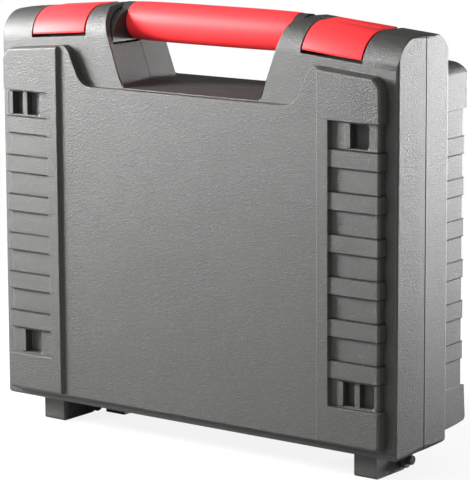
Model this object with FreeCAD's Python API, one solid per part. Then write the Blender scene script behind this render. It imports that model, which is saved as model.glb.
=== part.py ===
import FreeCAD, Part
import math
import os

# Hard tool case, moulded in two half shells that part on an upright plane.
# Origin: centre of the case's footprint, on the ground. +X right, -Y front, +Z up.
# The base is the deeper half and stands behind. The lid is the shallower half in front.

Vector = FreeCAD.Vector

# Case as a whole
case_width = 390.0
lid_depth = 47.2
base_depth = 73.4
foot_height = 20.5
side_height = 320.1
shoulder_degrees = 5.0
wall = 2.6
overrun = 4.0
smallest_inner_radius = 2.0
same_point = 0.0005
corner_share = 0.98

# Rim of each half, the part next to the parting plane
lid_raise = 10.7
base_raise = 40.5
lid_roof_radius = 25.0
base_roof_radius = 21.0
roof_draft = 1.0
rim_draft = 1.0
rim_edge_radius = 3.0
rim_low_corner_radius = 8.0
rim_high_corner_radius = 4.5
lid_keel_radius = 9.0
base_keel_radius = 7.0
lid_keel_draft = 0.5
base_keel_draft = 3.6

# Raised body of each half, in front of the rim
side_border = 9.3
low_border = 4.6
lid_raised_top_drop = 29.2
base_raised_top_drop = 27.0
raised_draft = 0.7
raised_top_draft = 1.6
raised_low_corner_radius = 7.0
raised_high_corner_radius = 16.0
base_raised_edge_radius = 12.0
base_raised_keel_radius = 4.0
lid_raised_keel_draft = 0.8
base_raised_keel_draft = 6.0
horn_top_from_side = 74.9
horn_foot_from_side = 90.0
horn_top_radius = 12.0
horn_foot_radius = 16.0

# Sunk centre panel
panel_from_side = 67.4
panel_sink = 3.4
panel_step_draft = 0.4

# Hand opening between the two posts
opening_drop = 68.66
opening_from_side = 127.7
post_lean_degrees = 20.6
opening_corner_radius = 4.0
post_crown_radius = 7.0
post_crown_lift = 0.3
lid_floor_fall = 4.1
base_floor_fall = 4.2

# Ribbed recess that wraps round each side of the raised body
ribs_from_side = 56.8
rib_zone_low_margin = 38.3
rib_zone_high_margin = 62.9
slot_band = 21.8
bar_count = 6
bar_share = 0.427
lid_bar_sink = 1.4
lid_bar_side_sink = 1.7
base_bar_sink = 2.0
base_bar_side_sink = 1.5
channel_sink = 3.9
lid_channel_side_sink = 3.5
base_channel_side_sink = 1.7
rib_foot_draft = 0.5
rib_end_draft = 1.0
rib_draft_degrees = 1.8

# Stacking sockets in the slot bands
socket_height = 18.6
socket_sink = 6.4
socket_wall = 2.0
ridge_width = 5.4
ridge_rise = 0.9
narrow_socket = 9.0
divider = 5.0
divider_sink = 0.9
wide_socket = 13.6
single_socket = 16.5
outer_pair_from_side = 12.8
inner_pair_from_side = 49.6
inner_single_from_side = 43.6
outer_single_from_side = 21.8

# Latches, laid over the shoulders
latch_width = 54.0
latch_from_side = 59.4
latch_thickness = 3.0
latch_side_gap = 1.4
latch_front_drop = 21.1
latch_low_gap = 2.4
latch_reach = 9.4
latch_sink = 0.2
latch_cheek = 2.4
latch_cheek_depth = 2.2
latch_rib_rise = 0.9
latch_rib_run = 3.2
pivot_drop = 17.2
pivot_setback = 4.7
pivot_radius = 3.2
pivot_pin_radius = 1.5
running_gap = 0.05
seat_gap = 0.02
pivot_room = 0.5
pin_pocket_depth = 2.2
recess_floor_drop = 8.0
tooth_length = 3.9
tooth_thickness = 2.6
catch_gap = 1.0
catch_thickness = 2.4
catch_start = 1.4
catch_top_drop = 4.6

# Handle
grip_drop = 22.1
grip_radius = 15.9
grip_end_gap = 3.4
grip_end_bevel = 3.0
grip_bore_radius = 11.0
core_radius = 10.9
collar_radius = 14.2
collar_length = 2.4
block_length = 20.8
block_front_gap = 2.9
block_back = 16.0
block_low_drop = 15.6
lid_block_gap = 0.8
screw_radius = 2.0
screw_end_gap = 2.3
screw_head_radius = 3.8
screw_head_height = 2.6
screw_seat_depth = 6.0
screw_bore_gap = 0.3
screw_boss_wall = 2.6

# Hinge lugs, which are the feet, and the hinge pins
lug_from_side = 48.9
lug_width = 20.8
toe_setback = 13.5
lug_toe_radius = 2.4
hinge_setback = 13.1
barrel_gap = 1.5
knuckle_radius = 7.0
knuckle_gap = 0.4
outer_knuckle = 4.2
inner_knuckle = 7.0
hinge_pin_radius = 2.5
hinge_head_radius = 3.85
hinge_head_length = 5.0
rear_foot_width = 20.0
rear_foot_setback = 0.3
rear_foot_depth = 10.5

# Tongues that line up the two halves
tongue_thickness = 1.4
tongue_reach = 2.6
tongue_root = 7.0
tongue_gap = 0.25
tongue_end_gap = 34.0

half_width = case_width / 2
parting_y = (lid_depth - base_depth) / 2
shoulder_slope = math.tan(math.radians(shoulder_degrees))
post_slope = math.tan(math.radians(post_lean_degrees))
roof_height = foot_height + side_height + half_width * shoulder_slope
lid_rim_depth = lid_depth - lid_raise
base_rim_depth = base_depth - base_raise
raised_half_width = half_width - side_border
raised_bottom = foot_height + low_border
panel_half_width = half_width - panel_from_side
horn_top_half_width = half_width - horn_top_from_side
horn_foot_half_width = half_width - horn_foot_from_side

opening_floor_height = roof_height - opening_drop
opening_half_width = half_width - opening_from_side
latch_centre = half_width - latch_from_side

rib_inner_half_width = half_width - ribs_from_side
rib_slope = math.tan(math.radians(rib_draft_degrees))
rib_zone_bottom = foot_height + rib_zone_low_margin
rib_zone_top = foot_height + side_height - rib_zone_high_margin
bar_pitch = (rib_zone_top - rib_zone_bottom - slot_band * 2) / (bar_count - 1 + bar_share)
bar_band = bar_pitch * bar_share

grip_height = roof_height - grip_drop
post_face = opening_half_width + (grip_height - opening_floor_height) * post_slope
grip_half_length = post_face - grip_end_gap
block_front = lid_rim_depth - wall - block_front_gap
screw_length = base_rim_depth - wall - screw_seat_depth - screw_end_gap

lug_inner = half_width - lug_from_side
toe_y = parting_y - lid_rim_depth + toe_setback
hinge_y = parting_y + hinge_setback
hinge_height = (foot_height - barrel_gap) / 2


class Half:
    """Sizes that differ between the lid and the base, measured outwards from the parting plane."""

    def __init__(self, depth, rim_depth, roof_radius, keel, raised_top, raised_keel, floor_fall,
                 bar_sinks, channel_sinks):
        self.depth = depth
        self.rim_depth = rim_depth
        self.roof_radius = roof_radius
        self.keel_draft, self.keel_radius = keel
        self.raised_drop, self.raised_edge_radius = raised_top
        self.raised_keel_draft, self.raised_keel_radius = raised_keel
        self.floor_fall = floor_fall
        self.bar_sink, self.bar_side_sink = bar_sinks
        self.channel_sink, self.channel_side_sink = channel_sinks


lid_half = Half(lid_depth, lid_rim_depth, lid_roof_radius, (lid_keel_draft, lid_keel_radius),
                (lid_raised_top_drop, 0), (lid_raised_keel_draft, 0), lid_floor_fall,
                (lid_bar_sink, lid_bar_side_sink), (channel_sink, lid_channel_side_sink))
base_half = Half(base_depth, base_rim_depth, base_roof_radius, (base_keel_draft, base_keel_radius),
                 (base_raised_top_drop, base_raised_edge_radius),
                 (base_raised_keel_draft, base_raised_keel_radius), base_floor_fall,
                 (base_bar_sink, base_bar_side_sink), (channel_sink, base_channel_side_sink))


def shoulder_height(x):
    """Height of the shoulder line at a distance x from the middle."""
    return roof_height - abs(x) * shoulder_slope


def on_xz(y):
    """Lift a flat point onto the plane y."""
    return lambda a, b: Vector(a, y, b)


def on_yz(x):
    """Lift a flat point onto the plane x."""
    return lambda a, b: Vector(x, a, b)


def on_xy(z):
    """Lift a flat point onto the plane z."""
    return lambda a, b: Vector(a, b, z)


def turn_of(before, corner, after):
    """Signed turn of an outline at a corner: positive to the left."""
    ax, ay = corner[0] - before[0], corner[1] - before[1]
    bx, by = after[0] - corner[0], after[1] - corner[1]
    return math.atan2(ax * by - ay * bx, ax * bx + ay * by)


def is_anticlockwise(points):
    """True when an outline runs anticlockwise."""
    total = 0
    for i, point in enumerate(points):
        nearer = points[i - 1]
        total += nearer[0] * point[1] - nearer[1] * point[0]
    return total > 0


def moved_inwards(points, radii, inset):
    """An outline with every side moved inwards by inset, and its corner radii to suit."""
    if inset == 0:
        return points, radii
    side = 1 if is_anticlockwise(points) else -1
    lines = []
    for i, start in enumerate(points):
        end = points[(i + 1) % len(points)]
        length = math.hypot(end[0] - start[0], end[1] - start[1])
        ux, uy = (end[0] - start[0]) / length, (end[1] - start[1]) / length
        shift = (start[0] - side * uy * inset, start[1] + side * ux * inset)
        lines.append((shift, (ux, uy)))
    new_points = []
    new_radii = []
    for i, radius in enumerate(radii):
        (p, u), (q, v) = lines[i - 1], lines[i]
        cross = u[0] * v[1] - u[1] * v[0]
        along = ((q[0] - p[0]) * v[1] - (q[1] - p[1]) * v[0]) / cross
        new_points.append((p[0] + u[0] * along, p[1] + u[1] * along))
        convex = cross * side > 0
        changed = radius - inset if convex else radius + inset
        new_radii.append(changed if radius > 0 and changed > smallest_inner_radius else 0)
    return new_points, new_radii


def corner_reaches(points, radii):
    """How far each corner's round runs back along its sides, kept within those sides."""
    count = len(points)
    turns = []
    for i, corner in enumerate(points):
        turns.append(turn_of(points[i - 1], corner, points[(i + 1) % count]))
    wanted = [r * math.tan(abs(turn) / 2) for r, turn in zip(radii, turns)]
    limits = [1] * count
    for i, corner in enumerate(points):
        j = (i + 1) % count
        room = math.dist(corner, points[j]) * corner_share
        if wanted[i] + wanted[j] > room:
            ratio = room / (wanted[i] + wanted[j])
            limits[i] = min(limits[i], ratio)
            limits[j] = min(limits[j], ratio)
    return turns, [reach * limit for reach, limit in zip(wanted, limits)]


def outline(points, radii, lift):
    """Closed wire through the points, with a round of its own radius at each corner."""
    count = len(points)
    turns, reaches = corner_reaches(points, radii)
    entries = []
    exits = []
    crowns = []
    for i, corner in enumerate(points):
        if reaches[i] == 0:
            entries.append(corner)
            exits.append(corner)
            crowns.append(None)
            continue
        before = points[i - 1]
        after = points[(i + 1) % count]
        back = math.dist(before, corner)
        ahead = math.dist(after, corner)
        to_back = ((before[0] - corner[0]) / back, (before[1] - corner[1]) / back)
        to_ahead = ((after[0] - corner[0]) / ahead, (after[1] - corner[1]) / ahead)
        reach = reaches[i]
        radius = reach / math.tan(abs(turns[i]) / 2)
        middle = (to_back[0] + to_ahead[0], to_back[1] + to_ahead[1])
        depth = (radius / math.cos(turns[i] / 2) - radius) / math.hypot(*middle)
        entries.append((corner[0] + to_back[0] * reach, corner[1] + to_back[1] * reach))
        exits.append((corner[0] + to_ahead[0] * reach, corner[1] + to_ahead[1] * reach))
        crowns.append((corner[0] + middle[0] * depth, corner[1] + middle[1] * depth))
    edges = []
    for i, crown in enumerate(crowns):
        if crown is not None:
            edges.append(Part.Arc(lift(*entries[i]), lift(*crown), lift(*exits[i])).toShape())
        start = lift(*exits[i])
        end = lift(*entries[(i + 1) % count])
        if start.distanceToPoint(end) > same_point:
            edges.append(Part.LineSegment(start, end).toShape())
    return Part.Wire(edges)


def prism(points, radii, lift, along):
    """Solid swept from a rounded outline along a straight line."""
    return Part.Face(outline(points, radii, lift)).extrude(along)


def block(x0, x1, y0, y1, z0, z1):
    """Box between two corners."""
    return Part.makeBox(x1 - x0, y1 - y0, z1 - z0, Vector(x0, y0, z0))


def rod(radius, x0, x1, y, z):
    """Cylinder along X."""
    return Part.makeCylinder(radius, x1 - x0, Vector(x0, y, z), Vector(1, 0, 0))


def mirrored(shape):
    """The same shape on the other side of the case."""
    return shape.mirror(Vector(0, 0, 0), Vector(1, 0, 0))


def turned(points, height):
    """Solid turned about a level axis along X, from its half section."""
    face = Part.Face(outline(points, [0] * len(points), on_xz(0)))
    solid = face.revolve(Vector(0, 0, 0), Vector(1, 0, 0), 360)
    solid.translate(Vector(0, 0, height))
    return solid


def both_sides(shape):
    """A right-hand half joined to its mirror image."""
    return shape.fuse(mirrored(shape)).removeSplitter()


def onto_shoulder(shape, x):
    """Move a shape from level axes to the right shoulder: its X runs down the shoulder from x."""
    placed = shape.copy()
    placed.rotate(Vector(0, 0, 0), Vector(0, 1, 0), shoulder_degrees)
    placed.translate(Vector(x, 0, shoulder_height(x)))
    return placed


def lid_side(shape):
    """Turn a shape measured out from the parting plane to the front, and seat it there."""
    placed = shape.mirror(Vector(0, 0, 0), Vector(0, 1, 0))
    placed.translate(Vector(0, parting_y, 0))
    return placed


def base_side(shape):
    """Seat a shape measured out from the parting plane behind that plane."""
    placed = shape.copy()
    placed.translate(Vector(0, parting_y, 0))
    return placed


def roof_section(drop, depth, radius, draft):
    """Side view of a roof that falls by draft, then turns down round radius at depth."""
    low = -roof_height
    points = [(-overrun, -drop), (depth, -drop - draft), (depth, low), (-overrun, low)]
    return points, [0, radius, 0, 0]


def under_roof(solid, section, inset):
    """Part of a right-hand solid that lies under a roof along the shoulder."""
    points, radii = moved_inwards(section[0], section[1], inset)
    reach = half_width + overrun
    start = -reach * 2
    roof = prism(points, radii, on_yz(start), Vector(reach * 4, 0, 0))
    return solid.common(onto_shoulder(roof, 0))


def rim_solid(half, inset, start):
    """Right half of the rim: outline of the case, rounded roof, drafted side and underside."""
    top = shoulder_height(0)
    side_top = shoulder_height(half_width)
    points = [(-overrun, foot_height), (half_width, foot_height), (half_width, side_top),
              (-overrun, top + overrun * shoulder_slope)]
    radii = [0, rim_low_corner_radius, rim_high_corner_radius, 0]
    points, radii = moved_inwards(points, radii, inset)
    depth = half.rim_depth
    solid = prism(points, radii, on_xz(start), Vector(0, depth + overrun, 0))
    flank = [(-overrun, -overrun), (half_width, -overrun), (half_width - rim_draft, depth),
             (-overrun, depth)]
    flank, flank_radii = moved_inwards(flank, [0, 0, rim_edge_radius, 0], inset)
    flank[0] = (-overrun, -overrun)
    flank[1] = (flank[1][0], -overrun)
    solid = solid.common(prism(flank, flank_radii, on_xy(0), Vector(0, 0, roof_height + overrun)))
    high = roof_height + overrun
    keel = [(-overrun, foot_height), (depth, foot_height + half.keel_draft), (depth, high),
            (-overrun, high)]
    keel, keel_radii = moved_inwards(keel, [0, half.keel_radius, 0, 0], inset)
    keel[0] = (-overrun, keel[0][1])
    keel[3] = (-overrun, high)
    keel[2] = (keel[2][0], high)
    solid = solid.common(prism(keel, keel_radii, on_yz(-overrun),
                               Vector(half_width + overrun * 2, 0, 0)))
    return under_roof(solid, roof_section(0, depth, half.roof_radius, roof_draft), inset)


def raised_solid(half, inset, start):
    """Right half of the raised body, with the horn beside the post and the low centre."""
    drop = half.raised_drop
    centre_top = opening_floor_height - half.floor_fall
    points = [(-overrun, raised_bottom), (raised_half_width, raised_bottom),
              (raised_half_width, shoulder_height(raised_half_width) - drop),
              (horn_top_half_width, shoulder_height(horn_top_half_width) - drop),
              (horn_foot_half_width, centre_top), (-overrun, centre_top)]
    radii = [0, raised_low_corner_radius, raised_high_corner_radius, horn_top_radius,
             horn_foot_radius, 0]
    points, radii = moved_inwards(points, radii, inset)
    depth = half.depth
    solid = prism(points, radii, on_xz(start), Vector(0, depth - start, 0))
    flank = [(-overrun, -overrun), (raised_half_width + raised_draft, -overrun),
             (raised_half_width - raised_draft, depth), (-overrun, depth)]
    flank, flank_radii = moved_inwards(flank, [0, 0, 0, 0], inset)
    solid = solid.common(prism(flank, flank_radii, on_xy(0), Vector(0, 0, roof_height)))
    high = roof_height
    keel = [(half.rim_depth - overrun, raised_bottom), (depth, raised_bottom + half.raised_keel_draft),
            (depth, high), (-overrun, high), (-overrun, raised_bottom)]
    keel, keel_radii = moved_inwards(keel, [0, half.raised_keel_radius, 0, 0, 0], inset)
    solid = solid.common(prism(keel, keel_radii, on_yz(-overrun), Vector(half_width * 2, 0, 0)))
    section = roof_section(drop - raised_top_draft, depth, half.raised_edge_radius,
                           raised_top_draft * 2)
    return under_roof(solid, section, inset)


def centre_sink(half, grow):
    """Space in front of the sunk centre panel, its side step drafted."""
    floor = half.depth - panel_sink
    face = half.depth + overrun
    lean = panel_step_draft * (panel_sink + overrun) / panel_sink
    points = [(-overrun, floor), (panel_half_width - panel_step_draft, floor),
              (panel_half_width - panel_step_draft + lean, face), (-overrun, face)]
    points, radii = moved_inwards(points, [0, 0, 0, 0], -grow)
    return prism(points, radii, on_xy(0), Vector(0, 0, roof_height))


def rib_space(half, sink, side_sink, bottom, top, grow):
    """Space cut round the side of the raised body between two heights, wider at the face."""
    face = half.depth
    floor = face - sink
    side = raised_half_width - side_sink
    foot = side + rib_foot_draft
    out = raised_half_width + overrun
    lean = rib_end_draft * (sink + overrun) / sink
    inner = rib_inner_half_width + rib_end_draft
    points = [(inner, floor), (side, floor), (foot, half.rim_depth), (out, half.rim_depth),
              (out, face + overrun), (inner - lean, face + overrun)]
    points, radii = moved_inwards(points, [0] * len(points), -grow)
    level = prism(points, radii, on_xy(bottom - overrun * 2),
                  Vector(0, 0, top - bottom + overrun * 4))
    low = half.rim_depth - overrun * 2
    high = face + overrun * 2
    narrow = (face - low) * rib_slope
    spread = (high - face) * rib_slope
    ends = [(low, bottom + narrow), (high, bottom - spread), (high, top + spread),
            (low, top - narrow)]
    ends, end_radii = moved_inwards(ends, [0] * len(ends), -grow)
    return level.common(prism(ends, end_radii, on_yz(0), Vector(half_width * 2, 0, 0)))


def rib_spaces(half, grow):
    """Recess for the whole ribbed zone, with the deep slot bands and channels in it."""
    bottom = rib_zone_bottom
    top = rib_zone_top
    spaces = [rib_space(half, half.bar_sink, half.bar_side_sink, bottom, top, grow)]
    heights = [(bottom, bottom + slot_band), (top - slot_band, top)]
    for i in range(bar_count - 1):
        low = bottom + slot_band + bar_band + i * bar_pitch
        heights.append((low, low + bar_pitch - bar_band))
    for low, high in heights:
        spaces.append(rib_space(half, half.channel_sink, half.channel_side_sink, low, high, grow))
    return spaces


def opening_space(half, grow):
    """Right half of the hand opening: it narrows downwards and falls away from the parting plane."""
    floor = opening_floor_height
    line = shoulder_height(0) + post_crown_lift
    crown_x = (line - floor + opening_half_width / post_slope) / (1 / post_slope + shoulder_slope)
    crown = line - crown_x * shoulder_slope
    out = latch_centre
    high = roof_height + overrun * 2
    points = [(-overrun, floor), (opening_half_width, floor), (crown_x, crown),
              (out, line - out * shoulder_slope), (out, high), (-overrun, high)]
    radii = [0, opening_corner_radius, post_crown_radius, 0, 0, 0]
    points, radii = moved_inwards(points, radii, -grow)
    tool = prism(points, radii, on_xz(-overrun * 2), Vector(0, half.depth + overrun * 4, 0))
    fall = math.degrees(math.atan(half.floor_fall / (half.depth - panel_sink)))
    tool.rotate(Vector(0, 0, floor), Vector(1, 0, 0), -fall)
    return tool


pivot_y = lid_rim_depth - pivot_setback
latch_low = -latch_front_drop
pivot_sweep = math.hypot(pivot_setback, latch_front_drop - pivot_drop) + pivot_room
recess_half = latch_width / 2 + latch_side_gap


def latch_recess(half, grow):
    """Recess over the shoulder that the latch lies in, open at the parting plane."""
    high = overrun * 3
    floor = -recess_floor_drop
    if half is lid_half:
        inner = pivot_y - pivot_sweep
        low = latch_low - latch_low_gap
        out = half.rim_depth + overrun
        points = [(-overrun, floor), (inner - recess_floor_drop, floor),
                  (inner, floor - recess_floor_drop / 2), (inner, low), (out, low), (out, high),
                  (-overrun, high)]
    else:
        out = half.rim_depth + overrun
        points = [(-overrun, floor), (out, floor), (out, high), (-overrun, high)]
    radii = [0] * len(points)
    points, radii = moved_inwards(points, radii, -grow)
    reach = recess_half + grow
    tool = prism(points, radii, on_yz(-reach), Vector(reach * 2, 0, 0))
    return onto_shoulder(tool, latch_centre)


def half_form(half, inset, start):
    """Outer form of one half, or the space inside it when inset is the wall."""
    form = rim_solid(half, inset, start).fuse(raised_solid(half, inset, start))
    cuts = [centre_sink(half, inset), opening_space(half, inset), latch_recess(half, inset)]
    cuts += rib_spaces(half, inset)
    for cut in cuts:
        form = form.cut(cut)
    middle = block(0, half_width * 2, -base_depth, base_depth * 2, 0, roof_height * 2)
    return both_sides(form.common(middle))


def socket_places(mirror_pattern):
    """Start and kind of the four stacking sockets, left to right, upper then lower."""
    low = rib_zone_bottom + slot_band / 2
    high = rib_zone_top - slot_band / 2
    if mirror_pattern:
        low, high = high, low
    return [(outer_pair_from_side - half_width, high, True),
            (half_width - inner_single_from_side, high, False),
            (outer_single_from_side - half_width, low, False),
            (half_width - inner_pair_from_side, low, True)]


def socket_tools(half, mirror_pattern):
    """Ridges to add, sockets to cut and their outer walls, for one half."""
    floor = half.depth - half.channel_sink
    ridges = []
    holes = []
    cups = []
    for start, height, is_pair in socket_places(mirror_pattern):
        low = height - socket_height / 2
        high = height + socket_height / 2
        ridges.append(block(start, start + ridge_width, floor - ridge_rise, floor + ridge_rise,
                            low, high))
        x0 = start + ridge_width
        width = narrow_socket + divider + wide_socket if is_pair else single_socket
        holes.append(block(x0, x0 + width, floor - socket_sink, floor + overrun, low, high))
        cups.append(block(x0 - socket_wall, x0 + width + socket_wall,
                          floor - socket_sink - socket_wall, floor,
                          low - socket_wall, high + socket_wall))
        if is_pair:
            bar_start = x0 + narrow_socket
            bar = block(bar_start, bar_start + divider, floor - socket_sink - overrun,
                        floor - divider_sink, low - overrun, high + overrun)
            holes[-1] = holes[-1].cut(bar)
    return ridges, holes, cups


def shell(half, mirror_pattern):
    """One moulded half: outer form, hollowed at an even wall, with its stacking sockets."""
    solid = half_form(half, 0, 0)
    ridges, holes, cups = socket_tools(half, mirror_pattern)
    room = half_form(half, wall, -overrun)
    for cup in cups:
        room = room.cut(cup)
    solid = solid.cut(room)
    for ridge in ridges:
        solid = solid.fuse(ridge)
    for hole in holes:
        solid = solid.cut(hole)
    return solid.removeSplitter()


def block_section(grow):
    """Side view of the handle's end block, seen along X, measured from the parting plane."""
    low = grip_height - block_low_drop
    top = shoulder_height(grip_half_length + block_length) - wall - lid_block_gap
    points = [(-block_back, low), (block_front, low), (block_front, top), (-block_back, top)]
    radii = [0, 0, lid_roof_radius - wall, 0]
    return moved_inwards(points, radii, -grow)


def window(grow):
    """Space in the right-hand post that the end block passes into."""
    points, radii = block_section(grow)
    end = grip_half_length + block_length + grow
    start = opening_half_width - overrun
    return prism(points, radii, on_yz(start), Vector(end - start, 0, 0))


def screw_places():
    """Middle of each end block."""
    return grip_half_length + block_length / 2


def front_shell():
    """Lid: shell, hinge lugs that are the front feet, latch bearings and lining-up tongues."""
    solid = shell(lid_half, False)
    cut = window(lid_block_gap)
    solid = solid.cut(cut).cut(mirrored(cut))
    strip_outer = half_width - wall
    z0 = foot_height + tongue_end_gap
    z1 = foot_height + side_height - tongue_end_gap
    inner = strip_outer - tongue_gap - tongue_thickness
    root = block(inner, strip_outer + wall / 2, 0, tongue_root, z0, z1)
    tongue = block(inner, strip_outer - tongue_gap, -tongue_reach, tongue_root, z0, z1)
    strip = root.fuse(tongue)
    solid = solid.fuse(strip).fuse(mirrored(strip))
    bearing = rod(pivot_pin_radius + seat_gap, -recess_half - pin_pocket_depth,
                  recess_half + pin_pocket_depth, pivot_y, -pivot_drop)
    bearing = onto_shoulder(bearing, latch_centre)
    solid = solid.cut(bearing).cut(mirrored(bearing))
    solid = lid_side(solid)
    lug = hinge_lug()
    return solid.fuse(lug).fuse(mirrored(lug)).removeSplitter()


def hinge_lug():
    """Right-hand foot of the lid, with the hinge barrel at its rear end."""
    top = foot_height + wall
    points = [(toe_y, 0), (hinge_y, 0), (hinge_y, hinge_height * 2), (parting_y, hinge_height * 2),
              (parting_y, top), (toe_y, top)]
    foot = prism(points, [lug_toe_radius, 0, 0, 0, 0, 0], on_yz(lug_inner), Vector(lug_width, 0, 0))
    barrel = rod(hinge_height, lug_inner, lug_inner + lug_width, hinge_y, hinge_height)
    bore = rod(hinge_pin_radius + running_gap, lug_inner - overrun, lug_inner + lug_width + overrun,
               hinge_y, hinge_height)
    return foot.fuse(barrel).cut(bore)


def back_shell():
    """Base: shell, catch ribs, handle seats, hinge knuckles and rear feet."""
    solid = shell(base_half, True)
    seat = window(seat_gap).mirror(Vector(0, 0, 0), Vector(0, 1, 0))
    solid = solid.cut(seat).cut(mirrored(seat))
    boss_x = screw_places()
    boss_half = screw_radius + screw_boss_wall
    boss = block(boss_x - boss_half, boss_x + boss_half, block_back, base_rim_depth - wall / 2,
                 grip_height - boss_half, grip_height + boss_half)
    hole = Part.makeCylinder(screw_radius + seat_gap, screw_length + screw_seat_depth,
                             Vector(boss_x, 0, grip_height), Vector(0, 1, 0))
    solid = solid.fuse(boss).fuse(mirrored(boss)).cut(hole).cut(mirrored(hole))
    catch = block(-recess_half - wall / 2, recess_half + wall / 2, catch_start,
                  catch_start + catch_thickness, -recess_floor_drop - wall / 2, -catch_top_drop)
    catch = onto_shoulder(catch, latch_centre)
    solid = solid.fuse(catch).fuse(mirrored(catch))
    solid = base_side(solid)
    for piece in hinge_knuckles() + [rear_foot()]:
        solid = solid.fuse(piece).fuse(mirrored(piece))
    return solid.removeSplitter()


def hinge_knuckles():
    """Right-hand knuckles either side of the lid's lug."""
    top = foot_height + wall
    pieces = []
    outer = lug_inner + lug_width + knuckle_gap
    inner = lug_inner - knuckle_gap - inner_knuckle
    for x0, width in ((outer, outer_knuckle), (inner, inner_knuckle)):
        web = block(x0, x0 + width, hinge_y - knuckle_radius, hinge_y + knuckle_radius,
                    hinge_height, top)
        knuckle = web.fuse(rod(knuckle_radius, x0, x0 + width, hinge_y, hinge_height))
        bore = rod(hinge_pin_radius + seat_gap, x0 - overrun, x0 + width + overrun, hinge_y,
                   hinge_height)
        pieces.append(knuckle.cut(bore))
    return pieces


def rear_foot():
    """Right-hand rear foot beside the knuckles, rooted in the whole thickness of the base's wall."""
    x1 = lug_inner - knuckle_gap * 2 - inner_knuckle
    rear = base_rim_depth - rear_foot_setback
    foot = block(x1 - rear_foot_width, x1, rear - rear_foot_depth, rear, 0, raised_bottom + wall)
    return base_side(foot.cut(rim_solid(base_half, wall, 0)))


def hinge_pin():
    """Headed pin through the right-hand knuckles and lug."""
    start = lug_inner - knuckle_gap - inner_knuckle
    shoulder = lug_inner + lug_width + knuckle_gap + outer_knuckle
    end = shoulder + hinge_head_length
    shank = rod(hinge_pin_radius, start, end, hinge_y, hinge_height)
    head = rod(hinge_head_radius, shoulder, end, hinge_y, hinge_height)
    return shank.fuse(head).removeSplitter()


def handle_core():
    """Stiff inner bar of the handle, with an end block that seats in each post."""
    points, radii = block_section(0)
    end = prism(points, radii, on_yz(grip_half_length), Vector(block_length, 0, 0))
    end = end.mirror(Vector(0, 0, 0), Vector(0, 1, 0))
    bar = rod(core_radius, -overrun, grip_half_length + overrun, 0, grip_height)
    collar = rod(collar_radius, grip_half_length, grip_half_length + collar_length, 0, grip_height)
    x = screw_places()
    seat = Part.makeCylinder(screw_head_radius + screw_bore_gap, block_front + screw_seat_depth,
                             Vector(x, -block_front, grip_height), Vector(0, 1, 0))
    hole = Part.makeCylinder(screw_radius + screw_bore_gap, block_back + block_front,
                             Vector(x, -block_front, grip_height), Vector(0, 1, 0))
    end = end.fuse(collar).cut(seat).cut(hole)
    core = bar.fuse(end)
    return base_side(both_sides(core.common(block(0, half_width, -base_depth, base_depth, 0,
                                                  roof_height * 2))))


def handle_grip():
    """Sleeve moulded round the core, bevelled at its ends."""
    bevel = grip_end_bevel
    side = [(grip_half_length, grip_bore_radius), (grip_half_length, grip_radius - bevel),
            (grip_half_length - bevel, grip_radius)]
    points = side + [(-x, r) for x, r in reversed(side)]
    return base_side(turned(points, grip_height))


def handle_screws():
    """Two cheese-head screws that hold the end blocks to the base."""
    x = screw_places()
    y = screw_seat_depth
    shank = Part.makeCylinder(screw_radius, screw_length, Vector(x, y, grip_height), Vector(0, 1, 0))
    head = Part.makeCylinder(screw_head_radius, screw_head_height,
                             Vector(x, y - screw_head_height, grip_height), Vector(0, 1, 0))
    screw = shank.fuse(head)
    return base_side(Part.makeCompound([screw, mirrored(screw)]))


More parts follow.
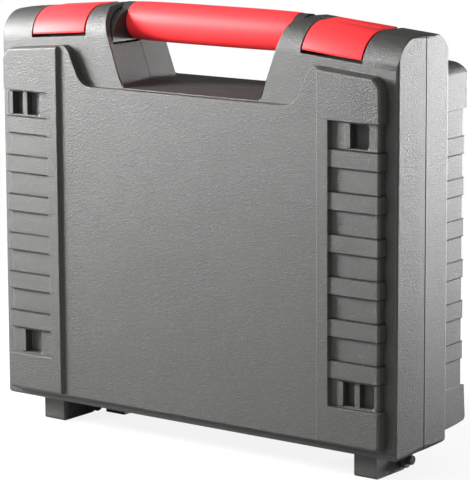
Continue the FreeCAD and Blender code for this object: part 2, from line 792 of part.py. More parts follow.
def latch():
    """Right-hand latch: curved plate, cheeks, pivot barrel and the tooth at its free end."""
    half_length = latch_width / 2
    outer, outer_radii = roof_section(latch_sink, lid_rim_depth - latch_sink,
                                      lid_roof_radius - latch_sink, roof_draft)
    outer[0] = (-latch_reach, -latch_sink)
    outer[3] = (-latch_reach, -roof_height)
    skin = prism(outer, outer_radii, on_yz(-half_length), Vector(latch_width, 0, 0))
    inner, inner_radii = roof_section(latch_sink + latch_thickness,
                                      lid_rim_depth - latch_sink - latch_thickness,
                                      lid_roof_radius - latch_sink - latch_thickness, roof_draft)
    inner[0] = (-latch_reach - overrun, -latch_sink - latch_thickness)
    inner[3] = (-latch_reach - overrun, -roof_height)
    plate = skin.cut(prism(inner, inner_radii, on_yz(-half_length - overrun),
                           Vector(latch_width + overrun * 2, 0, 0)))
    keep = block(-half_length, half_length, -latch_reach, lid_rim_depth, latch_low, overrun)
    plate = plate.common(keep)
    cheek_depth = latch_thickness + latch_cheek_depth
    cheek_inner, cheek_radii = roof_section(latch_sink + cheek_depth,
                                            lid_rim_depth - latch_sink - cheek_depth,
                                            lid_roof_radius - latch_sink - cheek_depth, roof_draft)
    cheek_inner[0] = (-latch_reach - overrun, cheek_inner[0][1])
    cheek_inner[3] = (-latch_reach - overrun, -roof_height)
    cheek_cut = prism(cheek_inner, cheek_radii, on_yz(-half_length - overrun),
                      Vector(latch_width + overrun * 2, 0, 0))
    cheek_zone = block(-half_length, half_length, overrun, lid_rim_depth, -pivot_drop, overrun)
    cheeks = skin.cut(cheek_cut).common(cheek_zone)
    cheeks = cheeks.cut(block(-half_length + latch_cheek, half_length - latch_cheek, -base_depth,
                              base_depth, -roof_height, overrun))
    barrel = rod(pivot_radius, -half_length, half_length, pivot_y, -pivot_drop)
    web_low = -pivot_drop - pivot_radius / 2
    web = block(-half_length, half_length, pivot_y, lid_rim_depth, web_low,
                -pivot_drop + pivot_radius / 2).common(skin)
    tooth_front = -catch_start - catch_thickness - catch_gap
    tooth = block(-half_length, half_length, tooth_front - tooth_thickness, tooth_front,
                  -latch_sink - latch_thickness - tooth_length, -latch_sink - latch_thickness / 2)
    rib_y = catch_start
    rib = prism([(rib_y, -latch_sink - latch_thickness / 2),
                 (rib_y + latch_rib_run * 2, -latch_sink - latch_thickness / 2),
                 (rib_y + latch_rib_run, -latch_sink + latch_rib_rise)], [0, 0, latch_rib_rise],
                on_yz(-half_length + latch_cheek * 2), Vector(latch_width - latch_cheek * 4, 0, 0))
    solid = plate.fuse(cheeks).fuse(barrel).fuse(web).fuse(tooth).fuse(rib)
    bore = rod(pivot_pin_radius + running_gap, -half_length - overrun, half_length + overrun,
               pivot_y, -pivot_drop)
    solid = solid.cut(bore).removeSplitter()
    return lid_side(onto_shoulder(solid, latch_centre))


def latch_pin():
    """Steel pin that the right-hand latch turns on."""
    reach = recess_half + pin_pocket_depth
    pin = rod(pivot_pin_radius, -reach, reach, pivot_y, -pivot_drop)
    return lid_side(onto_shoulder(pin, latch_centre))


def save(name, shape):
    """Write one piece to its own file, and print its volume."""
    if not shape.isValid():
        print("not valid:", name)
    print(name, len(shape.Solids), round(shape.Volume), [round(v, 1) for v in (
        shape.BoundBox.XMin, shape.BoundBox.XMax, shape.BoundBox.YMin, shape.BoundBox.YMax,
        shape.BoundBox.ZMin, shape.BoundBox.ZMax)])
    shape.exportStep("parts/" + name + ".step")


os.makedirs("parts", exist_ok=True)
save("back_shell", back_shell())
save("front_shell", front_shell())
save("handle_core", handle_core())
save("handle_grip", handle_grip())
save("handle_screws", handle_screws())
right_latch = latch()
save("latch_right", right_latch)
save("latch_left", mirrored(right_latch))
right_latch_pin = latch_pin()
save("latch_pin_right", right_latch_pin)
save("latch_pin_left", mirrored(right_latch_pin))
right_hinge_pin = hinge_pin()
save("hinge_pin_right", right_hinge_pin)
save("hinge_pin_left", mirrored(right_hinge_pin))
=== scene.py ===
import math

import bmesh
import bpy
import numpy as np
from mathutils import Matrix, Vector
from mathutils.bvhtree import BVHTree


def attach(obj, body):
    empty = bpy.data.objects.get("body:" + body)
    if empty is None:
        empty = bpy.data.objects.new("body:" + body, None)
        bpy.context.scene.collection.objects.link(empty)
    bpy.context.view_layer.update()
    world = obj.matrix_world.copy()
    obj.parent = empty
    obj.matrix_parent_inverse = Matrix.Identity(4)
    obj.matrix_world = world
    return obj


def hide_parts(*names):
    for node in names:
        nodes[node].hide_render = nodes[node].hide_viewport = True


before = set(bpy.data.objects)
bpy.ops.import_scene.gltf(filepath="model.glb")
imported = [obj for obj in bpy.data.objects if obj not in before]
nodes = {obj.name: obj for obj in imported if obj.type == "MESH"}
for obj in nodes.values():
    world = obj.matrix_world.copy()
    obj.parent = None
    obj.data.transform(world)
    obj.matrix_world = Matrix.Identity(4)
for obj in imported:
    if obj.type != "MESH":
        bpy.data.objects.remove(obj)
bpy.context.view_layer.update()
scene = bpy.context.scene
scene.view_settings.view_transform = "Standard"


# The camera stands to the right of the case and a little above it, two metres off, with a long
# lens. Its place and turn were solved from the edges of the case in the photograph.
camera_place = (1.3011, -1.7108, 0.5612)
camera_yaw = math.radians(37.133)
camera_dip = math.radians(10.494)
camera_roll = math.radians(-0.326)
focal_share = 2737.55 / 470
film_width = 36.0

ahead = Vector((-math.sin(camera_yaw) * math.cos(camera_dip),
                math.cos(camera_yaw) * math.cos(camera_dip), -math.sin(camera_dip)))
level = Vector((math.cos(camera_yaw), math.sin(camera_yaw), 0.0))
upright = level.cross(ahead)
across = level * math.cos(camera_roll) + upright * math.sin(camera_roll)
upwards = upright * math.cos(camera_roll) - level * math.sin(camera_roll)
camera_data = bpy.data.cameras.new("photo_camera")
camera_data.sensor_fit = "HORIZONTAL"
camera_data.sensor_width = film_width
camera_data.lens = film_width * focal_share
camera = bpy.data.objects.new("photo_camera", camera_data)
scene.collection.objects.link(camera)
camera.matrix_world = Matrix.Translation(camera_place) @ Matrix(
    (across, upwards, -ahead)).transposed().to_4x4()
scene.camera = camera


# The light is a soft studio: a lamp close by at the left of the front, which rakes across the
# panel and draws a shadow beside every step of the moulding, and a low lamp behind the right side
# that brightens the side walls. A weak lamp above and in front fills in the handle.
def soft_lamp(name, place, target, width, height, watts):
    """A rectangular lamp at place that faces target."""
    data = bpy.data.lights.new(name, "AREA")
    data.shape = "RECTANGLE"
    data.size = width
    data.size_y = height
    data.energy = watts
    lamp = bpy.data.objects.new(name, data)
    scene.collection.objects.link(lamp)
    lamp.location = place
    lamp.rotation_euler = (Vector(target) - Vector(place)).to_track_quat("-Z", "Y").to_euler()


soft_lamp("front_lamp", (-0.74, -0.46, 0.54), (-0.12, -0.06, 0.27), 0.3, 0.4, 34)
soft_lamp("side_lamp", (0.56, 1.30, 0.22), (0.19, 0.02, 0.24), 0.45, 0.3, 24)
soft_lamp("fill_lamp", (-0.25, -1.9, 1.5), (0.0, 0.0, 0.33), 0.8, 0.5, 9)


# The surround and the floor are pale paper. What the camera sees of them is white, and so is
# what glossy things show of them, except behind the left side, where the studio is dim. Close to
# the case the floor keeps its shadow.
class Signal:
    """An output of a shader node. Python's operators add Math nodes; make() adds any other."""

    def __init__(self, tree, socket=None):
        self.tree = tree
        self.socket = socket

    def make(self, kind, settings=None, values=None, output=0):
        """Add a node: settings first, then the value or link of each socket, by name or number."""
        node = self.tree.nodes.new("ShaderNode" + kind)
        for name, setting in (settings or {}).items():
            setattr(node, name, setting)
        for name, value in (values or {}).items():
            if isinstance(value, Signal):
                self.tree.links.new(value.socket, node.inputs[name])
            else:
                node.inputs[name].default_value = value
        return Signal(self.tree, node.outputs[output])

    def math(self, operation, first, second=0.0, clamp=False):
        """One Math node on two values or signals."""
        return self.make("Math", {"operation": operation, "use_clamp": clamp},
                         {0: first, 1: second})

    def clamped(self):
        """This value kept between 0 and 1."""
        return self.math("ADD", self, 0.0, True)

    def step(self, low, high):
        """0 below low, 1 above high, and a smooth rise between them."""
        return self.make("MapRange", {"interpolation_type": "SMOOTHSTEP"},
                         {0: self, 1: low, 2: high, 3: 0.0, 4: 1.0})

    def tint(self, dark, light):
        """Colour between dark and light, by this value."""
        return self.make("Mix", {"data_type": "RGBA"},
                         {0: self, 6: dark if isinstance(dark, Signal) else (*dark, 1.0),
                          7: light if isinstance(light, Signal) else (*light, 1.0)}, 2)

    def noise(self, scale, detail=2.0, roughness=0.5, stretch=None):
        """Noise over these coordinates, about 0 to 1, with lumps 1 / scale across."""
        place = self if stretch is None else self.make("Mapping", {}, {0: self, 3: stretch})
        return self.make("TexNoise", {"noise_dimensions": "3D"},
                         {"Vector": place, "Scale": scale, "Detail": detail,
                          "Roughness": roughness})

    def __add__(self, other):
        return self.math("ADD", self, other)

    def __sub__(self, other):
        return self.math("SUBTRACT", self, other)

    def __mul__(self, other):
        return self.math("MULTIPLY", self, other)

    def __rsub__(self, other):
        return self.math("SUBTRACT", other, self)

    __radd__ = __add__
    __rmul__ = __mul__


world = bpy.data.worlds.new("studio")
scene.world = world
world.use_nodes = True
world.node_tree.nodes.clear()
sky = Signal(world.node_tree)
ray = sky.make("LightPath").socket.node
seen = Signal(world.node_tree, ray.outputs["Is Camera Ray"])
glossy = Signal(world.node_tree, ray.outputs["Is Glossy Ray"])
through = Signal(world.node_tree, ray.outputs["Is Transmission Ray"])
direction = sky.make("TexCoord", output="Generated")
white = (1.0, 1.0, 1.0, 1.0)
rear_left = (-0.6, 0.8, 0.0)
studio_light, dim_reflection = 0.6, 0.1
to_rear_left = sky.make("VectorMath", {"operation": "DOT_PRODUCT"},
                        {0: direction, 1: rear_left}, "Value")
lit_side = 1 - to_rear_left.step(-0.3, 0.4)
white_share = (seen + through + glossy * lit_side).clamped()
dim_light = studio_light - glossy * (studio_light - dim_reflection)
dim_sky = sky.make("Background", {}, {"Color": white, "Strength": dim_light})
white_sky = sky.make("Background", {}, {"Color": white, "Strength": 1.0})
whole_sky = sky.make("MixShader", {}, {0: white_share, 1: dim_sky, 2: white_sky})
sky_out = world.node_tree.nodes.new("ShaderNodeOutputWorld")
world.node_tree.links.new(whole_sky.socket, sky_out.inputs["Surface"])

floor_half = 4.0
bounce_grey = (0.3, 0.3, 0.3)
paper_colour = (0.92, 0.92, 0.92)
shadow_share = 0.15
shadow_start, shadow_end = 0.35, 0.9
floor_mesh = bpy.data.meshes.new("floor")
floor_mesh.from_pydata([(-floor_half, -floor_half, 0), (floor_half, -floor_half, 0),
                        (floor_half, floor_half, 0), (-floor_half, floor_half, 0)], [],
                       [(0, 1, 2, 3)])
floor = bpy.data.objects.new("floor", floor_mesh)
scene.collection.objects.link(floor)
floor_paper = bpy.data.materials.new("floor_paper")
floor_paper.use_nodes = True
paper = Signal(floor_paper.node_tree)
paper_shader = floor_paper.node_tree.nodes["Principled BSDF"]
paper_shader.inputs["Roughness"].default_value = 0.9
paper_ray = paper.make("LightPath").socket.node
paper_seen = Signal(floor_paper.node_tree, paper_ray.outputs["Is Camera Ray"])
paper_tone = paper_seen.tint(bounce_grey, paper_colour)
floor_paper.node_tree.links.new(paper_tone.socket, paper_shader.inputs["Base Color"])
paper_white = paper.make("Emission", {}, {"Color": white, "Strength": 1.0})
floor_place = paper.make("TexCoord", output="Object")
away = paper.make("VectorMath", {"operation": "LENGTH"}, {0: floor_place}, "Value")
away = away.step(shadow_start, shadow_end)
paper_mix = paper.make("MixShader", {},
                       {0: paper_seen * (1 - shadow_share + away * shadow_share),
                        1: Signal(floor_paper.node_tree, paper_shader.outputs[0]),
                        2: paper_white})
floor_paper.node_tree.links.new(
    paper_mix.socket, floor_paper.node_tree.nodes["Material Output"].inputs["Surface"])
floor_mesh.materials.append(floor_paper)


# The two shells are injection moulded in polypropylene: the lid in front and the deeper base
# behind. The mould is etched all over with a fine leather grain, and every outer edge is rounded,
# the edges of the raised corners and of the ribs the most. They carry all the other pieces.
parting_y = -0.0131
bend = math.radians(30)
flat_join = math.radians(0.2)
merge_gap = 0.000002
plane_gap = 0.00001
throw_share = 0.9
calm_rounds = 3


def new_finish(name, constants):
    """A material, its shader with what is the same all over, and its Object coordinates."""
    material = bpy.data.materials.new(name)
    material.use_nodes = True
    shader = material.node_tree.nodes["Principled BSDF"]
    for label, value in constants.items():
        shader.inputs[label].default_value = value
    place = Signal(material.node_tree).make("TexCoord", output="Object")
    return material, shader, place


def lay_on(shader, signals):
    """Link what changes over the surface to the shader's sockets."""
    for label, signal in signals.items():
        signal.tree.links.new(signal.socket, shader.inputs[label])


def edge_sides(mesh):
    """For each edge between two faces: its number, both normals and its run round the first.

    A face's corners run anticlockwise, so an edge juts out where the cross product of its two
    normals points along its run, and is a groove where it points back."""
    corner_count = len(mesh.loops)
    corner_edge = np.empty(corner_count, np.int32)
    corner_point = np.empty(corner_count, np.int32)
    mesh.loops.foreach_get("edge_index", corner_edge)
    mesh.loops.foreach_get("vertex_index", corner_point)
    face_size = np.empty(len(mesh.polygons), np.int32)
    mesh.polygons.foreach_get("loop_total", face_size)
    normal = np.empty(len(mesh.polygons) * 3)
    mesh.polygons.foreach_get("normal", normal)
    normal = normal.reshape(-1, 3)
    point = np.empty(len(mesh.vertices) * 3)
    mesh.vertices.foreach_get("co", point)
    point = point.reshape(-1, 3)
    ends = np.empty(len(mesh.edges) * 2, np.int32)
    mesh.edges.foreach_get("vertices", ends)
    ends = ends.reshape(-1, 2)
    corner_face = np.repeat(np.arange(len(mesh.polygons)), face_size)
    order = np.argsort(corner_edge, kind="stable")
    count = np.bincount(corner_edge, minlength=len(mesh.edges))
    first = np.cumsum(count) - count
    edge = np.nonzero(count == 2)[0]
    corner_a = order[first[edge]]
    corner_b = order[first[edge] + 1]
    normal_a = normal[corner_face[corner_a]]
    normal_b = normal[corner_face[corner_b]]
    run = point[ends[edge, 1]] - point[ends[edge, 0]]
    run[corner_point[corner_a] != ends[edge, 0]] *= -1
    middle = (point[ends[edge, 1]] + point[ends[edge, 0]]) / 2
    return edge, normal_a, normal_b, run, middle


def moulded(node, name, material, widest, widths, reshape=None):
    """A copy of a node with merged corners, flat faces joined and rounded edges.

    widths gives each edge's round in millimetres, from its two normals, its middle and whether it
    juts out, and widest is the largest of them. The faces on the parting plane are rings, so they
    stay in triangles. The edges to be joined are taken in the mesh's own order, which is the same
    each run. reshape moves the points first, in millimetres."""
    mesh = nodes[node].data.copy()
    mesh.name = name
    work = bmesh.new()
    work.from_mesh(mesh)
    bmesh.ops.remove_doubles(work, verts=work.verts, dist=merge_gap)
    apart = [v for v in work.verts if abs(v.co.y - parting_y) > plane_gap]
    beside = [edge for edge in work.edges
              if any(abs(v.co.y - parting_y) > plane_gap for v in edge.verts)]
    bmesh.ops.dissolve_limit(work, angle_limit=flat_join, verts=apart, edges=beside)
    work.to_mesh(mesh)
    work.free()
    if reshape is not None:
        points = np.empty(len(mesh.vertices) * 3)
        mesh.vertices.foreach_get("co", points)
        points = reshape(points.reshape(-1, 3) * 1000) / 1000
        mesh.vertices.foreach_set("co", points.ravel())
        mesh.update()
    edge, normal_a, normal_b, run, middle = edge_sides(mesh)
    turn = np.arccos(np.clip((normal_a * normal_b).sum(axis=1), -1, 1))
    juts = (np.cross(normal_a, normal_b) * run).sum(axis=1) > 0
    bent = turn > bend
    width = np.where(bent, widths(normal_a, normal_b, middle * 1000, juts), 0.0)
    weight = np.zeros(len(mesh.edges), np.float32)
    weight[edge] = width / widest
    mesh.attributes.new("bevel_weight_edge", "FLOAT", "EDGE").data.foreach_set("value", weight)
    sharp = np.zeros(len(mesh.edges), bool)
    sharp[edge] = bent & (width == 0)
    if "sharp_edge" not in mesh.attributes:
        mesh.attributes.new("sharp_edge", "BOOLEAN", "EDGE")
    mesh.attributes["sharp_edge"].data.foreach_set("value", sharp)
    mesh.polygons.foreach_set("use_smooth", np.ones(len(mesh.polygons), bool))
    mesh.materials.clear()
    mesh.materials.append(material)
    piece = bpy.data.objects.new(name, mesh)
    scene.collection.objects.link(piece)
    bevel = piece.modifiers.new("rounded_edges", "BEVEL")
    bevel.limit_method = "WEIGHT"
    bevel.offset_type = "OFFSET"
    bevel.width = widest / 1000
    bevel.segments = 3
    bevel.use_clamp_overlap = False
    bevel.miter_outer = "MITER_SHARP"
    smooth = piece.modifiers.new("flat_faces", "WEIGHTED_NORMAL")
    smooth.keep_sharp = True
    calm(piece, edge, middle, widest * throw_share)
    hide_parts(node)
    return piece


def calm(piece, edge, middle, limit):
    """Leave the edges sharp round each point that the rounding throws over limit mm away."""
    mesh = piece.data
    weight = mesh.attributes["bevel_weight_edge"].data
    values = np.empty(len(mesh.edges), np.float32)
    weight.foreach_get("value", values)
    sharp = mesh.attributes["sharp_edge"].data
    sharp_values = np.empty(len(mesh.edges), bool)
    sharp.foreach_get("value", sharp_values)
    skin = BVHTree.FromPolygons([v.co for v in mesh.vertices],
                                [list(face.vertices) for face in mesh.polygons])
    for attempt in range(calm_rounds):
        graph = bpy.context.evaluated_depsgraph_get()
        rounded = piece.evaluated_get(graph).to_mesh()
        thrown = [v.co.copy() for v in rounded.vertices
                  if skin.find_nearest(v.co)[3] * 1000 > limit]
        if not thrown:
            return
        for co in thrown:
            near = skin.find_nearest(co)[0]
            reach = (near - co).length + limit / 1000
            close = np.linalg.norm(middle - np.array(near), axis=1) < reach * (attempt + 1)
            sharp_values[edge[close & (values[edge] > 0)]] = True
            values[edge[close]] = 0.0
        weight.foreach_set("value", values)
        sharp.foreach_set("value", sharp_values)
        mesh.update()


rib_start = 0.0806
rib_pitch = 0.032301
rib_band = 0.013793
rib_end = rib_start + rib_pitch * 5 + rib_band
rib_inner = 0.1382
base_rim_front = 0.02
lid_rim_front = -0.0499
flank = 0.1942
blur = 0.0001
groove_fade = (0.0003, 0.0008)
seam_fade = (0.0003, 0.0006)
zone_fade = (0.0008, 0.001)
# How strongly shade is painted into the parting line on the flanks, against the rib grooves.
seam_shade_weight = 1.4


def painted_crease_shade(place):
    """1 where shade is painted: in the grooves at both edges of each rib and where lid and base
    meet on the flanks.

    A rib's groove is where the height is nearest to an edge: the edges repeat every rib_pitch,
    the ribs are rib_band tall, and only the raised bodies' ribbed strips have them."""
    parts = place.make("SeparateXYZ", {}, {0: place}).socket.node.outputs
    x, y, z = (Signal(place.tree, part) for part in parts)
    phase = place.math("FLOORED_MODULO", z - rib_start, rib_pitch)
    gap = place.math("MINIMUM", place.math("ABSOLUTE", phase), rib_pitch - phase)
    gap = place.math("MINIMUM", gap, place.math("ABSOLUTE", phase - rib_band))
    groove = 1 - gap.step(*groove_fade)
    raised = (y.step(base_rim_front - blur, base_rim_front + blur) + 1
              - y.step(lid_rim_front - blur, lid_rim_front + blur))
    aside = place.math("ABSOLUTE", x)
    strip = aside.step(rib_inner - blur * 2, rib_inner + blur * 2)
    zone = z.step(rib_start - zone_fade[1], rib_start - zone_fade[0])
    zone = zone * (1 - z.step(rib_end + zone_fade[0], rib_end + zone_fade[1]))
    seam = 1 - place.math("ABSOLUTE", y - parting_y).step(*seam_fade)
    seam = seam * aside.step(flank - blur, flank + blur)
    return groove * strip * zone * raised + seam * seam_shade_weight


grain_height = 0.00042
# Near-black of the shade painted into the rib grooves and the parting line.
crease_shade_black = (0.012, 0.012, 0.011, 1.0)
dust = (0.3, 0.295, 0.28)


def leather_grain(name, colour, roughness):
    """Etched mould grain: pebbles about a millimetre across, flow marks, dust and fine scuffs.
    Painted shade darkens the fine grooves beside the ribs and along the parting to a dull black."""
    material, shader, place = new_finish(name, {"Specular IOR Level": 0.5})
    pebble = place.make("TexVoronoi", {"feature": "SMOOTH_F1"},
                        {"Vector": place, "Scale": 1250.0, "Smoothness": 0.5})
    fine = place.noise(1150.0, 2.0, 0.65)
    cloud = place.noise(9.0, 3.0, 0.55)
    flow = place.noise(60.0, 3.0, 0.6)
    speck = place.noise(520.0, 1.0).step(0.62, 0.72)
    scuff = (place.noise(38.0, 2.0, 0.5, (1.0, 1.0, 9.0)).step(0.66, 0.74)
             * place.noise(420.0, 1.0).step(0.45, 0.62))
    lightness = (pebble * 0.5 + fine * 0.35 + flow * 0.22 + cloud * 0.3).clamped()
    dark = tuple(part * 0.62 for part in colour)
    light = tuple(part * 1.38 for part in colour)
    tone = lightness.tint(dark, light)
    dusted = (speck * 0.06 + scuff * 0.1).tint(tone, dust)
    height = pebble * 0.3 + fine * 1.15
    bump = place.make("Bump", {}, {"Strength": 1.0, "Distance": grain_height, "Height": height})
    lay_on(shader, {"Base Color": dusted, "Normal": bump,
                    "Roughness": roughness - 0.05 + cloud * 0.08 + scuff * 0.08 - fine * 0.04})
    # Painted shade: the rib grooves and the parting line are mixed towards a dull black diffuse.
    crease_shade_mask = painted_crease_shade(place) * (0.5 + flow)
    dull = place.make("BsdfDiffuse", {}, {"Color": crease_shade_black, "Normal": bump})
    skin = Signal(place.tree, shader.outputs[0])
    both = place.make("MixShader", {}, {0: (crease_shade_mask * 0.7).clamped(), 1: skin, 2: dull})
    place.tree.links.new(both.socket, place.tree.nodes["Material Output"].inputs["Surface"])
    return material


case_plastic = leather_grain("case_plastic", (0.034, 0.034, 0.032), 0.44)


# Rounds of the shells and the places that tell their edges apart, in millimetres
raised_round = 2.2
step_round = 0.9
small_round = 0.4
parting_round = 0.7
socket_corner = 3.2
socket_ends = np.array([-149.2, -151.3, 173.3, 178.4])
ridge_corner = 1.8
raised_face = 60.3
raised_band = 4.4
flank_start = 178.0
horn_height = 250.0
low_height = 40.0
step_half_width = 127.5
curve_height = 285.0
socket_half_width = 130.0
socket_depths = (6.0, 9.0)
ridge_depths = (2.9, 3.9)
rim_face = 49.6
mouth_half_width = 100.0
mouth_height = 288.0
squarely = 0.97
across_y = 0.1
slanting = 0.5
rising = 0.2
face_slack = 0.1
end_slack = 0.4
step_slack = 1.0
parting_slack = 0.1


def shell_rounds(outward):
    """Rounds of the shell that faces outward along Y, by where each edge lies: wide along the
    raised corners' outline and the ribs' upright edges, medium on steps, small elsewhere."""
    def widths(normal_a, normal_b, middle, juts):
        aside = np.abs(middle[:, 0])
        out = np.abs(middle[:, 1])
        height = middle[:, 2]
        flat_a = np.abs(normal_a[:, 1]) > squarely
        flat_b = np.abs(normal_b[:, 1]) > squarely
        front = ((flat_a & (normal_a[:, 1] * outward > 0))
                 | (flat_b & (normal_b[:, 1] * outward > 0)))
        sideways = np.where(flat_a[:, None], normal_b, normal_a)
        leaves = sideways[:, 0] * np.sign(middle[:, 0]) > slanting
        raised = out > raised_face - face_slack
        high = ((height > horn_height) & raised & (sideways[:, 2] > rising)
                & ((np.abs(sideways[:, 0]) < slanting) | leaves))
        low = (height < low_height) & raised
        outline = (leaves & (aside > flank_start)) | high | low
        wide = front & (out > raised_face - raised_band) & outline
        step = front & raised & ~leaves & (np.abs(aside - step_half_width) < step_slack)
        curve = front & raised & ~leaves & (height > curve_height) & ~high
        mouth = ((aside < mouth_half_width) & (height > mouth_height)
                 & (np.abs(out - rim_face) < step_slack))
        parting = np.abs(middle[:, 1] - parting_y * 1000) < parting_slack
        deep = raised_face - out
        inward = (np.abs(normal_a[:, 1]) < across_y) & (np.abs(normal_b[:, 1]) < across_y)
        inward = inward & (aside > socket_half_width)
        in_socket = inward & (deep > socket_depths[0]) & (deep < socket_depths[1])
        on_ridge = inward & juts & (deep > ridge_depths[0]) & (deep < ridge_depths[1])
        at_end = np.abs(middle[:, 0][:, None] - socket_ends).min(axis=1) < end_slack
        round_size = np.where(wide, raised_round, small_round)
        round_size = np.where(step | curve, step_round, round_size)
        round_size = np.where(on_ridge, ridge_corner, round_size)
        round_size = np.where(parting, parting_round, round_size)
        round_size = np.where(mouth, step_round, round_size)
        corner = in_socket & at_end & ~juts
        return np.where(juts, round_size, np.where(corner, socket_corner, 0.0))
    return widths


keel_round = 9.0
keel_centre = (-40.6, 29.5)
keel_corner = 3.0
raised_low = (24.0, 33.0, 48.0)
raised_lift = 3.7
raised_edge = 186.6
keel_slack = 0.15
rim_slack = 0.12


def sharper_keel(points):
    """The lid's low front edge with a round of 3 in place of 9, and the raised body ending higher.

    A point at angle a and distance r from the old round's centre moves out to r * d(a) / 9, where
    d is the distance to a square with corners of 3. Between heights 24 and 33 the raised body is
    pushed up by 3.7, and less above them, down to nothing at 48."""
    y = keel_centre[0] - points[:, 1]
    z = keel_centre[1] - points[:, 2]
    reach = np.hypot(y, z)
    angle = np.arctan2(z, y)
    c, s = np.cos(angle), np.sin(angle)
    flat = keel_round - keel_corner
    inside = np.maximum((flat * (c + s)) ** 2 - 2 * flat ** 2 + keel_corner ** 2, 0.0)
    far = flat * (c + s) + np.sqrt(inside)
    far = np.where(s * keel_round <= c * flat, keel_round / np.maximum(c, 0.1), far)
    far = np.where(c * keel_round <= s * flat, keel_round / np.maximum(s, 0.1), far)
    in_zone = (y > 0) & (z > 0) & (reach < keel_round + keel_slack)
    grow = np.where(in_zone, far / keel_round, 1.0)
    moved = points.copy()
    moved[:, 1] = keel_centre[0] - y * grow
    moved[:, 2] = keel_centre[1] - z * grow
    low, whole, high = raised_low
    on_raised = ((moved[:, 1] < keel_centre[0] - keel_round + rim_slack)
                 & (np.abs(points[:, 0]) < raised_edge)
                 & (moved[:, 2] > low) & (moved[:, 2] < high))
    share = np.clip((high - moved[:, 2]) / (high - whole), 0.0, 1.0)
    moved[:, 2] += np.where(on_raised, raised_lift * share, 0.0)
    return moved


lid = moulded("front_shell", "lid_shell", case_plastic, socket_corner, shell_rounds(-1),
              sharper_keel)
base = moulded("back_shell", "base_shell", case_plastic, socket_corner, shell_rounds(1))
for piece, body in ((lid, "lid"), (base, "base")):
    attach(piece, body)


# The handle's core is a stiff black bar with a block at each end that seats in the posts. It is
# moulded in glass-filled nylon, smooth and a little glossy, and two screws hold it.
def smooth_plastic(name, colour, roughness, shine):
    """Smooth moulding: faint flow clouds, a very fine skin and a few hairline scratches."""
    material, shader, place = new_finish(name, {"Specular IOR Level": shine})
    cloud = place.noise(14.0, 3.0, 0.55)
    skin = place.noise(1500.0, 2.0, 0.6)
    wave = place.noise(130.0, 1.0, 0.4)
    scratch = (place.noise(150.0, 2.0, 0.5, (0.12, 1.0, 1.0)).step(0.68, 0.74)
               * place.noise(33.0, 1.0).step(0.5, 0.65))
    dark = tuple(part * 0.88 for part in colour)
    light = tuple(min(part * 1.12, 1.0) for part in colour)
    tone = (cloud * 0.7 + skin * 0.3).tint(dark, light)
    worn = (scratch * 0.18).tint(tone, tuple(part * 0.7 + 0.2 for part in colour))
    bump = place.make("Bump", {}, {"Strength": 0.25, "Distance": 0.0001,
                                   "Height": skin * 0.35 + wave * 0.65 - scratch * 0.3})
    lay_on(shader, {"Base Color": worn, "Normal": bump,
                    "Roughness": roughness - 0.04 + cloud * 0.08 + scratch * 0.1})
    return material


core_plastic = smooth_plastic("core_plastic", (0.03, 0.03, 0.031), 0.38, 0.4)


def even_rounds(round_size):
    """The same small round on every jutting edge."""
    return lambda normal_a, normal_b, middle, juts: np.where(juts, round_size, 0.0)


core_round = 0.5
core = moulded("handle_core", "handle_core_bar", core_plastic, core_round,
               even_rounds(core_round))
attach(core, "base")


# The grip is a sleeve of red soft-touch plastic moulded round the core, so that it can't turn. It
# is a little fuller in the middle than at its ends, which are rounded over.
grip_length = 162.8
grip_axis = (-13.1, 335.56)
grip_radius = 15.9
grip_taper = 0.8
grip_end_round = 1.8
grip_bore = 11.0
grip_rows = 61
end_rows = 9
round_columns = 96


def tube_faces(rows, columns, ring):
    """Quads between neighbouring rows of points, each row closed round. In a ring the last row
    joins the first, and any other tube is closed by one face at each end."""
    start = np.arange(rows if ring else rows - 1)[:, None] * columns
    after = (start + columns) % (rows * columns)
    column = np.arange(columns)[None, :]
    beside = (column + 1) % columns
    quads = np.stack([start + column, start + beside, after + beside, after + column],
                     axis=2).reshape(-1, 4).tolist()
    if ring:
        return quads
    last = (rows - 1) * columns
    return quads + [list(range(columns))[::-1], list(range(last, last + columns))]


def surface_piece(name, points, faces, material):
    """A smooth piece of these points, in millimetres, and faces, which are turned outwards."""
    mesh = bpy.data.meshes.new(name)
    mesh.from_pydata((points / 1000).tolist(), [], faces)
    work = bmesh.new()
    work.from_mesh(mesh)
    bmesh.ops.recalc_face_normals(work, faces=work.faces)
    work.to_mesh(mesh)
    work.free()
    mesh.shade_smooth()
    mesh.materials.append(material)
    piece = bpy.data.objects.new(name, mesh)
    scene.collection.objects.link(piece)
    return piece


def turned_grip(rows, columns):
    """Sleeve turned about X: grip_radius less grip_taper times the fourth power of the place along
    it, with an end rounded over a quarter circle and a bore that closes it into a ring."""
    half = grip_length / 2
    quarter = np.linspace(0, math.pi / 2, end_rows)
    straight = np.linspace(-1, 1, rows) * (half - grip_end_round)
    body = grip_radius - grip_taper * np.abs(straight / half) ** 4
    end_along = half - grip_end_round + grip_end_round * np.sin(quarter)
    end_radius = body[-1] - grip_end_round + grip_end_round * np.cos(quarter)
    along = np.concatenate([[-half], -end_along[::-1], straight[1:-1], end_along, [half]])
    radius = np.concatenate([[grip_bore], end_radius[::-1], body[1:-1], end_radius, [grip_bore]])
    angle = np.linspace(0, 2 * math.pi, columns, endpoint=False)
    x = np.repeat(along[:, None], columns, axis=1)
    y = grip_axis[0] + radius[:, None] * np.sin(angle)[None, :]
    z = grip_axis[1] + radius[:, None] * np.cos(angle)[None, :]
    return np.stack([x, y, z], axis=2).reshape(-1, 3), tube_faces(len(along), columns, True)


red_plastic = smooth_plastic("red_plastic", (0.78, 0.03, 0.035), 0.5, 0.22)
grip = surface_piece("grip_sleeve", *turned_grip(grip_rows, round_columns), red_plastic)
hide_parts("handle_grip")
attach(grip, "base")


# A black collar of the core closes the gap between each end of the grip and its post. Its outer
# end is cut at the lean of the post and stops just short of it.
collar_radius = 14.7
collar_start = 80.4
collar_shortest = 0.5
collar_gap = 0.4
collar_corner = math.radians(40)
post_foot = (67.3, 289.0)
post_lean = 0.3759


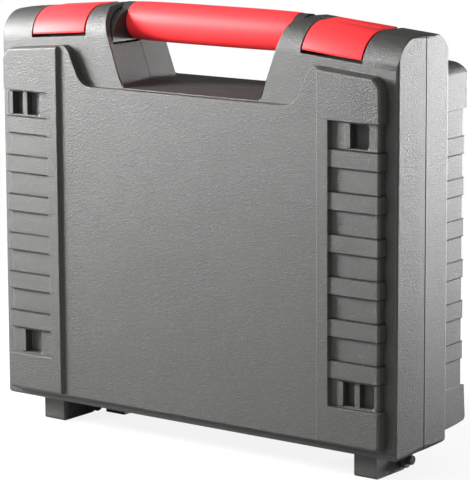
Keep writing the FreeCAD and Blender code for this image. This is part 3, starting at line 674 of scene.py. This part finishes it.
def turned_collar(sign, columns):
    """Tube about the grip's axis from collar_start to collar_gap short of the post's face, which
    lies post_lean further out for each millimetre of height above its foot."""
    angle = np.linspace(0, 2 * math.pi, columns, endpoint=False)
    y = grip_axis[0] + collar_radius * np.sin(angle)
    z = grip_axis[1] + collar_radius * np.cos(angle)
    face = post_foot[0] + (z - post_foot[1]) * post_lean - collar_gap
    end = np.maximum(face, collar_start + collar_shortest)
    first = np.stack([np.full(columns, collar_start) * sign, y, z], axis=1)
    last = np.stack([end * sign, y, z], axis=1)
    return np.concatenate([first, last]), tube_faces(2, columns, False)


for side, sign in (("left", -1), ("right", 1)):
    collar = surface_piece("collar_" + side, *turned_collar(sign, round_columns), core_plastic)
    collar.data.set_sharp_from_angle(angle=collar_corner)
    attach(collar, "base")


# The two latches are curved plates of the grip's red plastic that lie over the shoulders. Each
# swings on a steel pin in the lid and snaps over a rib of the base behind the parting line. Its
# outer face is one smooth sweep.
shoulder_turn = math.radians(5.0)
latch_middle = (135.6, 345.796)
latch_arc = (11.5, -25.4, 24.8)
level_end = -9.3
level_slope = 0.0248
arc_end = math.radians(11.6)
face_proud = 0.42
face_deep = 0.6
face_half_width = 27.1
face_edge = 0.45
end_pinch = 0.02
closing_angle = 0.15
level_rows, arc_rows, corner_steps = 12, 26, 5
plate_round = 0.6


def latch_face(sign):
    """Plate swept over the latch: its side view runs level, then round the roof's arc, and its
    cross section is a flat box with rounded edges, closed by shrunk rings at both ends."""
    y0, z0, radius = latch_arc
    level_run = np.linspace(level_end, y0, level_rows)[:-1]
    angle = np.linspace(math.pi / 2, arc_end, arc_rows)
    line_y = np.concatenate([level_run, y0 + radius * np.cos(angle)])
    line_z = np.concatenate([z0 + radius + (y0 - level_run) * level_slope,
                             z0 + radius * np.sin(angle)])
    slope = np.concatenate([np.full(len(level_run), math.pi / 2 - level_slope), angle])
    turn = np.linspace(0, math.pi / 2, corner_steps)
    ring_x = []
    ring_h = []
    for corner in range(4):
        spin = turn + corner * math.pi / 2
        cx = (face_half_width - face_edge) * (1 if corner in (0, 3) else -1)
        ch = face_proud - face_edge if corner in (0, 1) else face_edge - face_deep
        ring_x.append(cx + face_edge * np.cos(spin))
        ring_h.append(ch + face_edge * np.sin(spin))
    ring_x, ring_h = np.concatenate(ring_x), np.concatenate(ring_h)
    middle_h = (face_proud - face_deep) / 2
    closing = np.linspace(closing_angle, math.pi / 2, corner_steps)
    shrink = np.sin(closing)
    drop = face_edge * np.cos(closing)
    factor = np.concatenate([shrink, np.ones(len(line_y)), shrink[::-1]])[:, None]
    along = np.concatenate([-drop, np.zeros(len(line_y)), drop[::-1]])[:, None]
    rows = np.concatenate([np.zeros(len(closing), int), np.arange(len(line_y)),
                           np.full(len(closing), len(line_y) - 1)])
    out_y, out_z = np.cos(slope)[rows][:, None], np.sin(slope)[rows][:, None]
    across_x = ring_x[None, :] * (1 - (1 - factor) * end_pinch)
    height = middle_h + (ring_h[None, :] - middle_h) * factor
    y = line_y[rows][:, None] + out_y * height + along * out_z
    z = line_z[rows][:, None] + out_z * height - along * out_y
    world_x = across_x * math.cos(shoulder_turn) + z * math.sin(shoulder_turn) + latch_middle[0]
    world_z = z * math.cos(shoulder_turn) - across_x * math.sin(shoulder_turn) + latch_middle[1]
    points = np.stack([world_x * sign, parting_y * 1000 - y, world_z], axis=2).reshape(-1, 3)
    return points, tube_faces(len(rows), len(ring_x), False)


for side, sign in (("left", -1), ("right", 1)):
    plate = moulded("latch_" + side, "latch_plate_" + side, red_plastic, plate_round,
                    even_rounds(plate_round))
    face = surface_piece("latch_face_" + side, *latch_face(sign), red_plastic)
    for part in (plate, face):
        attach(part, "latch_" + side)


# The screws and the latches' pins are plain zinc-plated steel, drawn to size, with fine marks
# round them and a few dull patches.
def drawn_steel(name):
    """Drawn steel: fine streaks along X, dull patches and a light tarnish."""
    material, shader, place = new_finish(name, {"Metallic": 1.0})
    streak = place.noise(700.0, 2.0, 0.6, (0.1, 1.0, 1.0))
    patch = place.noise(90.0, 3.0, 0.6)
    tone = (streak * 0.5 + patch * 0.5).tint((0.42, 0.42, 0.43), (0.68, 0.68, 0.69))
    bump = place.make("Bump", {}, {"Strength": 0.3, "Distance": 0.00005, "Height": streak})
    lay_on(shader, {"Base Color": tone, "Normal": bump, "Roughness": patch * 0.25 + 0.25})
    return material


steel = drawn_steel("steel")
for node in ("handle_screws", "latch_pin_left", "latch_pin_right"):
    nodes[node].data.materials.clear()
    nodes[node].data.materials.append(steel)


# The hinge pins are headed pegs of black acetal, pressed through the base's knuckles from the
# outer side, and the lid's lugs turn on them.
peg_round = 0.6
pin_plastic = smooth_plastic("pin_plastic", (0.045, 0.045, 0.046), 0.34, 0.5)
for side in ("left", "right"):
    pin = moulded("hinge_pin_" + side, "hinge_peg_" + side, pin_plastic, peg_round,
                  even_rounds(peg_round))
    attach(pin, "base")
